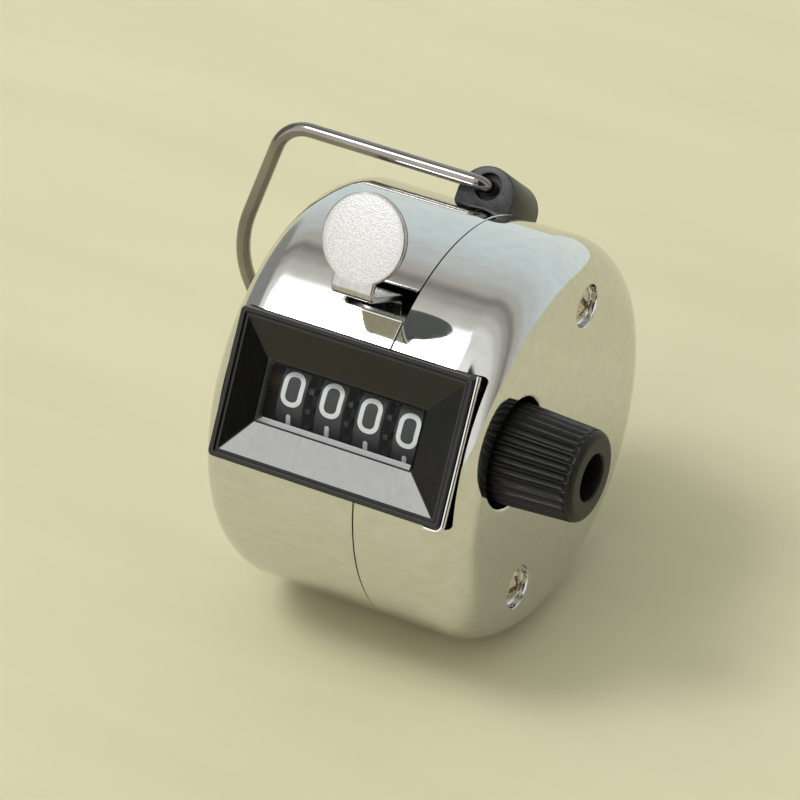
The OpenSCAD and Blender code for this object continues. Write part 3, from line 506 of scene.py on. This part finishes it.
lever_grid = np.stack([LEVER_X + across, pad_bow - lever_fu[..., 0], lever_fu[..., 1]], -1)
lever = solid("lever_blade", capped(lever_grid))
lever_co = values(lever.data.vertices, "co")
pad_reach = np.hypot(lever_co[:, 0] - LEVER_X, lever_co[:, 2] - PAD_U)
on_front = lever_co[:, 1] < -PAD_F - BLAST_SINK
blast = np.clip((PAD_R - BLAST_RIM - pad_reach) / BLAST_FADE, 0, 1) * on_front
# Painted shade: the back of the pad and upright stem, turned to the drum, is marked for a dark coat.
painted_back_shade = (lever_co[:, 1] > BACK_SHADE_SINK - PAD_F) * (lever_co[:, 2] > LEG_U + BEND_R)
for label, share in (("blast", blast), ("painted_back_shade", painted_back_shade)):
    lever.data.attributes.new(label, "FLOAT", "POINT").data.foreach_set("value", share.astype(np.float32))
lever_nickel = finish("lever_nickel", (0.44, 0.43, 0.42), (0.55, 0.54, 0.53), (0.16, 0.24), (0.5, 0.5, 2.0),
                      metallic=1.0, bump=0.05)


def coat(material, label, dark, light, roughness, relief):
    """Lays another surface over a finish: where the piece's value `label` is 1, fine round pits drive the colour,
    the roughness and a grain that glints."""
    tree = material.node_tree
    link, shader = tree.links.new, tree.nodes["Principled BSDF"]
    mask = tree.nodes.new("ShaderNodeAttribute")
    mask.attribute_name = label
    place = tree.nodes.new("ShaderNodeTexCoord")
    pits = tree.nodes.new("ShaderNodeTexVoronoi")
    pits.inputs["Scale"].default_value = PIT_SCALE
    pale = tree.nodes.new("ShaderNodeValToRGB")
    pale.color_ramp.elements[0].color = (*dark, 1)
    pale.color_ramp.elements[1].color = (*light, 1)
    pale.color_ramp.elements[1].position = PIT_PALE
    rough = tree.nodes.new("ShaderNodeMapRange")
    rough.inputs["To Min"].default_value, rough.inputs["To Max"].default_value = roughness
    grain = tree.nodes.new("ShaderNodeBump")
    grain.inputs["Strength"].default_value = relief
    grain.inputs["Distance"].default_value = PIT_DEPTH
    link(place.outputs["Object"], pits.inputs["Vector"])
    link(pits.outputs["Distance"], pale.inputs["Fac"])
    link(pits.outputs["Distance"], rough.inputs["Value"])
    link(pits.outputs["Distance"], grain.inputs["Height"])
    for socket, output, kind in (("Base Color", pale.outputs["Color"], "RGBA"),
                                 ("Roughness", rough.outputs["Result"], "FLOAT"),
                                 ("Normal", grain.outputs["Normal"], "VECTOR")):
        mix = tree.nodes.new("ShaderNodeMix")
        mix.data_type = kind
        inputs = [s for s in mix.inputs if s.enabled]
        link(mask.outputs["Fac"], inputs[0])
        link(shader.inputs[socket].links[0].from_socket, inputs[1])
        link(output, inputs[2])
        link([s for s in mix.outputs if s.enabled][0], shader.inputs[socket])


coat(lever_nickel, "blast", (0.5, 0.5, 0.505), (0.76, 0.76, 0.77), (0.32, 0.54), 0.6)
# The dark coat on that back is painted shade, not a finish of the plated steel.
coat(lever_nickel, "painted_back_shade", (0.09, 0.085, 0.08), (0.16, 0.155, 0.15), (0.35, 0.5), 0.1)
lever.data.materials.append(lever_nickel)
settle(lever, "lever", crease=50)
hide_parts("thumb_lever")


# Window plate: a clear sheet laid into the frame from behind, just in front of the digits.
# It is so thin that it shows only as a faint gloss.
window_clear = finish("window_clear", (0.03, 0.032, 0.034), (0.06, 0.063, 0.066), (0.05, 0.12), (3, 3, 3),
                      bump=0.02, Alpha=0.07)
dress(window_clear, "window_lens")


# Window frame: one black moulding with a thin raised lip, four sloping sides down to the opening and a seat
# for the window plate behind. Its slopes carry fine upright draw lines from the mould.
OPENING_X, OPENING_U = 15.25, 0.05
LIP_ROWS = [  # inset from the frame's outline, corner, depth
    (0, 0.6, 18.2), (0, 0.6, 20.0), (0, 0.6, 21.66), (0.03, 0.57, 21.76), (0.12, 0.48, 21.8), (0.44, 0.34, 21.8),
    (0.54, 0.3, 21.76), (0.58, 0.28, 21.6), (0.7, 0.26, 21.5), (0.85, 0.24, 21.5), (0.95, 0.22, 21.53),
]
OPENING_ROWS = [  # centre share (0 frame, 1 opening), half width, half height, corner, depth, lift
    (1, 9.55, 3.5, 0.2, 19.61, 0.02), (1, 9.52, 3.47, 0.2, 19.5, 0.02), (1, 9.42, 3.36, 0.2, 19.5, 0.02),
    (1, 9.39, 3.33, 0.2, 19.69, 0.03), (1, 9.36, 3.29, 0.2, 19.72, 0.03), (0.72, 9.05, 2.98, 0.18, 19.53, 0.1),
    (0.7, 8.98, 2.9, 0.16, 19.49, 0.1), (0.7, 8.98, 2.9, 0.16, 19.46, 0.1), (1, 10.48, 4.48, 0.1, 19.46, 0),
    (1, 10.48, 4.48, 0.1, 18.2, 0),
]
frame_rows = [(0, BEZEL_HALF_W - inset, BEZEL_HALF_H - inset, corner, depth, 0)
              for inset, corner, depth in LIP_ROWS]
loops = []
for share, half_w, half_h, corner, depth, lift in frame_rows + OPENING_ROWS:
    loop_a, loop_b = rounded_loop(half_w, half_h, corner, 8, 10)
    centre_x = BEZEL_X + share * (OPENING_X - BEZEL_X)
    centre_u = BEZEL_U + share * (OPENING_U - BEZEL_U) + lift
    loops.append(np.stack([loop_a[0] + centre_x, np.full_like(loop_a[0], -depth), loop_b[0] + centre_u], -1))
loops, foot = np.array(loops), len(LIP_ROWS)
slope = np.linspace(0, 1, 10)[1:-1, None, None]
loops = np.concatenate([loops[:foot], loops[foot - 1] + slope * (loops[foot] - loops[foot - 1]), loops[foot:]])
bezel = solid("window_frame", sheet_of(loops, wrap_rows=True, wrap_cols=True))
frame_black = finish("frame_black", (0.004, 0.004, 0.004), (0.008, 0.008, 0.0075), (0.13, 0.2), (0.14, 0.7, 1.6),
                     bump=0.09, depth=0.00003, IOR=1.45)
bezel.data.materials.append(frame_black)
settle(bezel, "case", crease=24)
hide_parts("window_bezel")


# Rolled edge of the window: on the knob side the case sheet is turned up beside the frame and rolled into a
# plated bead, which runs down the frame's side and round its lower corner, with a dark gap beyond it.
WINDOW_BEAD, WINDOW_BEAD_F, BEAD_CORNER, BEAD_TAIL, BEAD_SINK, BEAD_STEP = 0.29, 21.25, 0.85, 1.1, 0.05, 0.05
bead_x = BEZEL_X + BEZEL_HALF_W + WINDOW_BEAD - BEAD_SINK
bead_low = BEZEL_U - BEZEL_HALF_H - WINDOW_BEAD + BEAD_SINK
bead_top = BEZEL_U + BEZEL_HALF_H + 2 * BEAD_STEP
bead_line = np.concatenate([
    np.linspace([bead_x, bead_top], [bead_x, bead_low + BEAD_CORNER + BEAD_STEP], 40),
    arc(bead_x - BEAD_CORNER, bead_low + BEAD_CORNER, BEAD_CORNER, 0, -90, 12),
    np.linspace([bead_x - BEAD_CORNER - 2 * BEAD_STEP, bead_low], [bead_x - BEAD_CORNER - BEAD_TAIL, bead_low], 8),
])
bead_path = np.stack([bead_line[:, 0], np.full(len(bead_line), -WINDOW_BEAD_F), bead_line[:, 1]], -1)
window_bead = solid("window_bead", tube(bead_path, WINDOW_BEAD, 20, lean=(0, -1, 0)))
window_bead.data.materials.append(chrome)
settle(window_bead, "case", crease=50)


# Case screws: pan heads with a cross recess, zinc plated, driven through the dimples into the posts.
# The head is a ball cap; the cross is sunk into it deepest in the middle.
HEAD_R, HEAD_H, HEAD_FOOT, HEAD_EDGE, HEAD_BEVEL, BALL_R = 1.85, 0.85, 0.1, 0.08, 0.03, 3.0
CROSS_HALF_W, CROSS_HALF_L, CROSS_DEPTH, CROSS_RUN, CROSS_RISE = 0.27, 1.3, 0.75, 0.25, 0.35
CROSS_FLOOR, CROSS_TOP = CROSS_HALF_W - 0.03, CROSS_HALF_W + 0.04
LOWER_TURN, UPPER_TURN = 20, 62


def step(value, low, high):
    """Smooth step from 0 at low to 1 at high: 3 t^2 - 2 t^3."""
    t = np.clip((value - low) / (high - low), 0, 1)
    return t * t * (3 - 2 * t)


def screw_head(u, turn):
    """Ball cap height(r) = h - R + sqrt(R^2 - r^2) on a disc grid, less two crossed grooves, with a side wall."""
    r = np.append(np.linspace(0, HEAD_R - HEAD_EDGE, 46), [HEAD_R - HEAD_BEVEL, HEAD_R, HEAD_R])[:, None]
    a = np.radians(np.linspace(0, 360, 192, endpoint=False))
    p, q = np.abs(r * np.cos(a)), np.abs(r * np.sin(a))
    grooves = [(1 - step(wide, CROSS_FLOOR, CROSS_TOP)) * (1 - step(long, CROSS_HALF_L - CROSS_RUN, CROSS_HALF_L))
               for wide, long in ((p, q), (q, p))]
    sunk = CROSS_DEPTH * np.maximum(*grooves) * (1 - CROSS_RISE * r / CROSS_HALF_L)
    height = HEAD_H - BALL_R + np.sqrt(BALL_R ** 2 - r ** 2) - sunk
    height[-2:] = [[HEAD_FOOT], [0.0]]
    a = a + np.radians(turn)
    grid = np.stack([DIMPLE_FLOOR + height, r * np.cos(a) - POST_F, r * np.sin(a) + u], -1)
    return capped(grid)


screws = solid("cross_head_screws", screw_head(POST_U - POST_PITCH, LOWER_TURN),
               screw_head(POST_U + POST_PITCH, UPPER_TURN))
screw_zinc = finish("screw_zinc", (0.42, 0.38, 0.31), (0.66, 0.62, 0.54), (0.18, 0.32), (0.3, 0.3, 0.3),
                    metallic=1.0, bump=0.1)
screws.data.materials.append(screw_zinc)
settle(screws, "case", crease=40)
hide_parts("case_screws")


# Reset knob: black moulding pressed on the wheel shaft, with round-bottomed flutes for grip, a plain
# rounded rim and a deep recess in its end. Turning it gathers the wheels to zero.
KNOB_R, KNOB_END_R, KNOB_X0, KNOB_X1, KNOB_RIM, KNOB_FOOT = 5.5, 5.05, 28.8, 41.05, 0.9, 0.3
SHAFT_HOLE_R, TAPER_START, BARREL_STEPS, KNOB_FACE_R = 1.6, 32, (0.2, 0.05), (3.4, 2.9)
RECESS_R, RECESS_EDGE = 2.6, 0.25
RECESS = np.array([[2.58, -2.2], [2.55, -4.2], [2.4, -4.4], [1.2, -4.5], [0, -4.5]])
FLUTES, FLUTE_R, FLUTE_STEPS, FLUTE_FROM_R = 30, 0.47, 20, 4.4
FLUTE_START, FLUTE_RUN_IN, FLUTE_RUN_OUT = 30.2, 0.4, 0.5
barrel_end = KNOB_X1 - KNOB_RIM
barrel_x = np.linspace(FLUTE_START + BARREL_STEPS[0], barrel_end - BARREL_STEPS[1], 40)
knob_profile = np.concatenate([
    [[SHAFT_HOLE_R, KNOB_X0], [KNOB_R - KNOB_FOOT, KNOB_X0], [KNOB_R, KNOB_X0 + KNOB_FOOT], [KNOB_R, FLUTE_START]],
    np.stack([np.interp(barrel_x, [TAPER_START, barrel_end], [KNOB_R, KNOB_END_R]), barrel_x], -1),
    arc(KNOB_END_R - KNOB_RIM, barrel_end, KNOB_RIM, 4, 90, 12),
    [[radius, KNOB_X1] for radius in KNOB_FACE_R],
    arc(RECESS_R + RECESS_EDGE, KNOB_X1 - RECESS_EDGE, RECESS_EDGE, 90, 180, 5),
    RECESS + [0, KNOB_X1],
])
knob_r, knob_x = knob_profile.T
knob_a = np.linspace(0, 2 * math.pi, FLUTES * FLUTE_STEPS, endpoint=False)
pitch = 2 * math.pi / FLUTES
from_groove = np.abs((knob_a + pitch / 2) % pitch - pitch / 2)
groove = np.sqrt(np.clip(FLUTE_R ** 2 - (from_groove * KNOB_R) ** 2, 0, None))
run_in = step(knob_x, FLUTE_START, FLUTE_START + FLUTE_RUN_IN)
run_out = 1 - step(knob_x, barrel_end - FLUTE_RUN_OUT, barrel_end + FLUTE_RUN_OUT)
fluted = run_in * run_out * (knob_r > FLUTE_FROM_R)
knob_radius = knob_r[:, None] - fluted[:, None] * groove
knob_grid = np.stack([np.broadcast_to(knob_x[:, None], knob_radius.shape),
                      knob_radius * np.cos(knob_a) - WHEEL_F, knob_radius * np.sin(knob_a) + WHEEL_U], -1)
knob = solid("fluted_knob", capped(knob_grid))
knob_black = finish("knob_black", (0.005, 0.005, 0.005), (0.011, 0.011, 0.0105), (0.33, 0.46), (0.3, 0.3, 0.3),
                    bump=0.12, Specular_IOR_Level=0.26)
knob.data.materials.append(knob_black)
settle(knob, "reset", crease=40)
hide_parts("reset_knob")


# Ring lug: a half-round block of dark plated steel riveted across the drum's back, drilled through for the
# two ends of the ring wire, with a wider mouth at both holes.
LUG_BACK = math.radians(15)
LUG_X, LUG_R, LUG_N, HINGE_N, WIRE_R = 16.0, 3.35, 23.3, 24.35, 0.8
LUG_FOOT, LUG_FOOT_HALF, LUG_SIDE = 1.27, 3.2, (0.1, 1.2)
LUG_ROWS = [  # radius of the hole (None on the block's outline), place along the hinge, inset of the outline
    (0.85, 0.0), (0.85, -3.0), (1.5, -3.05), (1.5, -3.9), (1.56, -4.0), (None, -4.0, 0.16), (None, -3.95, 0.05),
    (None, -3.84, 0.0), (None, 0.0, 0.0), (None, 3.84, 0.0), (None, 3.95, 0.05), (None, 4.0, 0.16), (1.56, 4.0),
    (1.5, 3.9), (1.5, 3.05), (0.85, 3.0),
]


def on_lug(points):
    """Lug coordinates (x, back along the hinge, out from the drum) turned LUG_BACK behind the window's upright."""
    x, b, n = np.moveaxis(np.asarray(points, float), -1, 0)
    c, s = math.cos(LUG_BACK), math.sin(LUG_BACK)
    return np.stack([x, b * c + n * s, -b * s + n * c], -1)


lug_outline = np.concatenate([
    arc(0, 0, LUG_R, 0, 180, 49),
    np.linspace([-LUG_R, -LUG_SIDE[0]], [-LUG_R, -LUG_SIDE[1]], 6),
    np.linspace([-LUG_FOOT_HALF, -LUG_FOOT], [LUG_FOOT_HALF, -LUG_FOOT], 22),
    np.linspace([LUG_R, -LUG_SIDE[1]], [LUG_R, -LUG_SIDE[0]], 6),
])
from_hole = lug_outline - [0, HINGE_N - LUG_N]
toward = from_hole / np.linalg.norm(from_hole, axis=1, keepdims=True)
lug_rings = []
for hole, back, *inset in LUG_ROWS:
    flat = toward * hole if hole else from_hole - toward * inset[0]
    lug_rings.append(np.stack([LUG_X + flat[:, 0], np.full(len(flat), back), HINGE_N + flat[:, 1]], -1))
lug = solid("half_round_lug", sheet_of(on_lug(np.array(lug_rings)), wrap_rows=True, wrap_cols=True))
lug_dark = finish("lug_dark", (0.022, 0.022, 0.023), (0.06, 0.06, 0.062), (0.32, 0.48), (0.5, 0.2, 0.5),
                  metallic=0.6, bump=0.12)
lug.data.materials.append(lug_dark)
settle(lug, "case", crease=40)
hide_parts("ring_lug")


# Finger ring: one length of chromed wire bent to a loop round the drum, its two ends sprung into the lug so
# that it swings over. It rests folded down to the left of the drum.
RING_POINTS = np.array([
    [16, -2, HINGE_N], [16, -5.1, HINGE_N], [-8.7, -5.1, HINGE_N + 0.2], [-13.6, 3.5, 11], [-8, 19, -1.5],
    [4, 26.3, 1], [16, 25, 8], [16, 18, 17.5], [16, 8.5, HINGE_N], [16, 2, HINGE_N],
], float)
RING_BENDS = [1.2, 4.2, 14, 9, 9, 9, 12, 10]


def bent_wire(points, bends, spacing=0.35):
    """The line of a bent wire: straight runs, and at each corner an arc of the bend's radius that touches both
    runs: centre = corner + (u + v)/|u + v| r / sin(half angle), u and v pointing back along the two runs."""
    line = [points[:1]]
    for before, corner, after, radius in zip(points[:-2], points[1:-1], points[2:], bends):
        u, v = before - corner, after - corner
        u, v = u / np.linalg.norm(u), v / np.linalg.norm(v)
        half = math.acos(np.clip(u @ v, -1, 1)) / 2
        centre = corner + (u + v) / np.linalg.norm(u + v) * radius / math.sin(half)
        start, end = [corner + way * radius / math.tan(half) - centre for way in (u, v)]
        sweep = math.pi - 2 * half
        t = np.linspace(0, 1, max(8, int(sweep * radius / spacing)))[:, None]
        line.append(centre + (np.sin((1 - t) * sweep) * start + np.sin(t * sweep) * end) / math.sin(sweep))
    return np.concatenate(line + [points[-1:]])


ring_line = on_lug(bent_wire(RING_POINTS, RING_BENDS))
ring = solid("finger_loop", tube(ring_line, WIRE_R, 32))
ring_chrome = finish("ring_chrome", (0.24, 0.222, 0.21), (0.33, 0.31, 0.292), (0.08, 0.16), (9.0, 6.0, 6.0),
                     metallic=1.0, bump=0.02)
ring.data.materials.append(ring_chrome)
settle(ring, "ring", crease=60)
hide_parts("finger_ring")


# Floor: a plain table top in pale cream with faint long streaks, dull enough to take a soft shadow.
# It runs well past the picture, and the drum rests on it.
FLOOR_Z, TABLE_REACH = -0.0225, 0.5
table_corners = TABLE_REACH * np.array([[-1, -1], [1, -1], [1, 1], [-1, 1]])
floor_mesh = bpy.data.meshes.new("table_top")
floor_mesh.from_pydata([(x, y, FLOOR_Z) for x, y in table_corners], [], [(0, 1, 2, 3)])
floor = bpy.data.objects.new("table_top", floor_mesh)
bpy.context.scene.collection.objects.link(floor)
table_cream = finish("table_cream", (0.625, 0.585, 0.385), (0.665, 0.625, 0.42), (0.7, 0.85), (60, 9, 9), bump=0.0)
floor_mesh.materials.append(table_cream)


# Light: a plain room in soft bands from the front wall over the ceiling to a cooler back wall. It has a dark
# corner to the right of the front, a dim left side, and a white ceiling panel up to the left, which gives the
# bright strip above the window.
ROOM_BANDS = [  # direction from front (-1) to back (1), colour
    (-1.0, (0.84, 0.83, 0.8)), (-0.6, (0.76, 0.75, 0.72)), (-0.1, (0.58, 0.575, 0.55)), (0.04, (0.42, 0.41, 0.38)),
    (0.17, (0.28, 0.265, 0.24)), (0.26, (0.19, 0.175, 0.155)), (0.36, (0.34, 0.33, 0.305)),
    (0.5, (0.41, 0.425, 0.42)), (0.8, (0.48, 0.545, 0.55)), (1.0, (0.55, 0.59, 0.57)),
]
DARK_CORNER = (0.26, 1, -1, -0.4, 0.14, (0.035, 0.035, 0.035))
DIM_LEFT = (-1, -0.82, -1, 1, 0.14, (0.2, 0.2, 0.19))
CEILING_PANEL = (-0.48, -0.34, -0.4, -0.22, 0.18, (9.2, 9.2, 9.1))
ROOM_STRENGTH, EDGE_SHARE = 1.58, 0.1
world = bpy.data.worlds.new("room")
bpy.context.scene.world = world
world.use_nodes = True
room = world.node_tree
look = room.nodes.new("ShaderNodeTexCoord")
toward_axis = room.nodes.new("ShaderNodeSeparateXYZ")
room.links.new(look.outputs["Generated"], toward_axis.inputs["Vector"])


def bands(axis, stops):
    """A soft colour band over one direction component, which runs from -1 to 1."""
    span = room.nodes.new("ShaderNodeMapRange")
    span.inputs["From Min"].default_value = -1.0
    ramp = room.nodes.new("ShaderNodeValToRGB")
    ramp.color_ramp.interpolation = "EASE"
    elements = ramp.color_ramp.elements
    elements.remove(elements[1])
    elements[0].position, elements[0].color = (stops[0][0] + 1) / 2, (*stops[0][1], 1)
    for at, colour in stops[1:]:
        elements.new((at + 1) / 2).color = (*colour, 1)
    room.links.new(toward_axis.outputs[axis], span.inputs["Value"])
    room.links.new(span.outputs["Result"], ramp.inputs["Fac"])
    return ramp.outputs["Color"]


def patch(base, x_from, x_to, y_from, y_to, soft, colour):
    """Lays a rectangle of another brightness over the room, set by its x and y directions; each side that ends
    inside the room has a long soft edge, which falls to EDGE_SHARE at its middle and to nothing at its end."""
    full, some, none = (1, 1, 1), (EDGE_SHARE,) * 3, (0, 0, 0)
    sides = []
    for axis, low, high in (("X", x_from, x_to), ("Y", y_from, y_to)):
        before = [(low - soft, none), (low - soft / 2, some)] if low > -1 else []
        after = [(high + soft / 2, some), (high + soft, none)] if high < 1 else []
        sides.append(bands(axis, [*before, (low, full), (high, full), *after]))
    both = room.nodes.new("ShaderNodeMath")
    both.operation = "MULTIPLY"
    mix = room.nodes.new("ShaderNodeMix")
    mix.data_type = "RGBA"
    inputs = [socket for socket in mix.inputs if socket.enabled]
    room.links.new(sides[0], both.inputs[0])
    room.links.new(sides[1], both.inputs[1])
    room.links.new(both.outputs[0], inputs[0])
    room.links.new(base, inputs[1])
    inputs[2].default_value = (*colour, 1)
    return [socket for socket in mix.outputs if socket.enabled][0]


room_colour = bands("Y", ROOM_BANDS)
for area in (DARK_CORNER, DIM_LEFT, CEILING_PANEL):
    room_colour = patch(room_colour, *area)
room.links.new(room_colour, room.nodes["Background"].inputs["Color"])
room.nodes["Background"].inputs["Strength"].default_value = ROOM_STRENGTH


# Key lamp: a soft square lamp high on the left, turned to the drum, which lays its shadow to the right.
# It is left out of mirror reflections, where the ceiling panel stands for it.
KEY_PLACE, KEY_AIM_X, KEY_SIZE, KEY_WATTS = (-0.56, 0.04, 0.58), 0.016, 0.5, 0.68
key = bpy.data.lights.new("key_lamp", "AREA")
key.shape, key.size, key.energy, key.color = "SQUARE", KEY_SIZE, KEY_WATTS, (1, 0.99, 0.96)
key_lamp = bpy.data.objects.new("key_lamp", key)
key_lamp.location = KEY_PLACE
key_lamp.rotation_euler = (0, -math.atan2(KEY_AIM_X - KEY_PLACE[0], KEY_PLACE[2]), 0)
key_lamp.visible_glossy = False
bpy.context.scene.collection.objects.link(key_lamp)


# Camera: the photograph's own place and lens, about 35 degrees above the table and 29 degrees to the right.
# Its place is in millimetres with the window upright, and its lens in pixels of the picture.
SENSOR_W, FOCAL_PX, PICTURE_PX = 36.0, 4730.3, 800
EYE = np.array([216.154, -461.179, 85.925])
EYE_AXES = np.array([[0.8734, 0.4282, 0.2318], [-0.2812, 0.0549, 0.9581], [0.3975, -0.902, 0.1683]])
camera_data = bpy.data.cameras.new("camera")
camera_data.sensor_width, camera_data.lens = SENSOR_W, SENSOR_W * FOCAL_PX / PICTURE_PX
camera = bpy.data.objects.new("camera", camera_data)
lean = np.array(Matrix.Rotation(-WINDOW_TILT, 3, "X"))
axes, eye = EYE_AXES @ lean.T, lean @ EYE * MM
camera.matrix_world = Matrix([[*row, p] for row, p in zip(axes.T, eye)] + [[0, 0, 0, 1]])
bpy.context.scene.collection.objects.link(camera)
bpy.context.scene.camera = camera
bpy.context.scene.view_settings.view_transform = "Standard"
